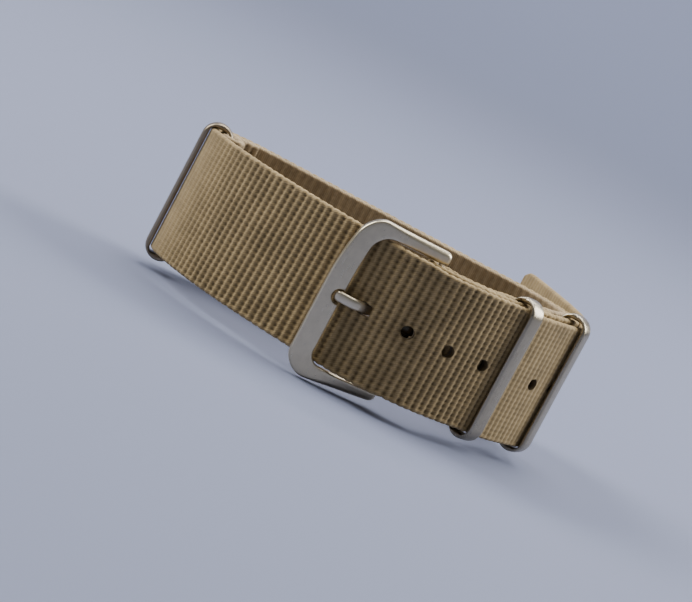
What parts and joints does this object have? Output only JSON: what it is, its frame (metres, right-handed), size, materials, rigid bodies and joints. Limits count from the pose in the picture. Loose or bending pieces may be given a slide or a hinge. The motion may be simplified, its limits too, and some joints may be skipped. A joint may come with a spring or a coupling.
{
  "type": "watch strap",
  "caption": "Pull-through watch strap of ribbed tan nylon webbing, buckled into a loop, with a steel pin buckle and steel keeper rings that hold its free end.",
  "frame": {"origin": "Middle of the bounding box at the base, with the loop standing on its lower edge", "axes": "X runs along the flat back of the loop towards the two keepers, Y runs from the buckle towards the free end, and Z runs across the webbing's width"},
  "size_m": [0.0638, 0.0576, 0.025],
  "materials": {
    "webbing": "ribbed woven nylon, matt, tan",
    "inner_webbing": "ribbed woven nylon, matt, tan",
    "thread": "twisted nylon thread, matt",
    "steel": "satin stainless steel with bright edges",
    "pin_steel": "plain turned stainless steel",
    "spring_steel": "drawn spring wire"
  },
  "bodies": {
    "strap": {"main_strap": "webbing", "short_strap": "inner_webbing", "tack_buckle": "thread", "tack_middle": "thread", "tack_side": "thread", "tack_left": "thread", "bar_barrel": "pin_steel", "bar_spring": "spring_steel"},
    "frame": {"buckle_frame": "steel"},
    "tongue": {"buckle_tongue": "steel"},
    "tip_upper": {"bar_tip_upper": "pin_steel"},
    "tip_lower": {"bar_tip_lower": "pin_steel"},
    "front_keeper": {"keeper_front": "steel"},
    "side_keeper": {"keeper_side": "steel"},
    "left_keeper": {"keeper_left": "steel"}
  },
  "joints": [
    {"name": "frame_swing", "type": "hinge", "parent": "strap", "child": "frame", "pos_m": [0.00765, -0.02344, 0.01258], "axis": [0, 0, 1], "range_deg": [0, 145]},
    {"name": "tongue_swing", "type": "hinge", "parent": "strap", "child": "tongue", "pos_m": [0.00765, -0.02344, 0.01258], "axis": [0, 0, 1], "range_deg": [0, 6]},
    {"name": "front_keeper_slide", "type": "slide", "parent": "strap", "child": "front_keeper", "axis": [0.6531, 0.7573, 0], "range_m": [-0.0008, 0.0008]},
    {"name": "side_keeper_slide", "type": "slide", "parent": "strap", "child": "side_keeper", "axis": [0.382, 0.9242, 0], "range_m": [-0.0008, 0.0008]},
    {"name": "left_keeper_swing", "type": "hinge", "parent": "strap", "child": "left_keeper", "pos_m": [-0.02744, -0.00128, 0.01258], "axis": [0, 0, 1], "range_deg": [-5, 8]},
    {"name": "upper_tip_press", "type": "slide", "parent": "strap", "child": "tip_upper", "axis": [0, 0, -1], "range_m": [0, 0.0009], "stiffness_N_per_m": 1500, "springref_m": -0.0012, "deforming": ["bar_spring"]},
    {"name": "lower_tip_press", "type": "slide", "parent": "strap", "child": "tip_lower", "axis": [0, 0, 1], "range_m": [0, 0.0009], "stiffness_N_per_m": 1500, "springref_m": -0.0012, "deforming": ["bar_spring"]}
  ]
}
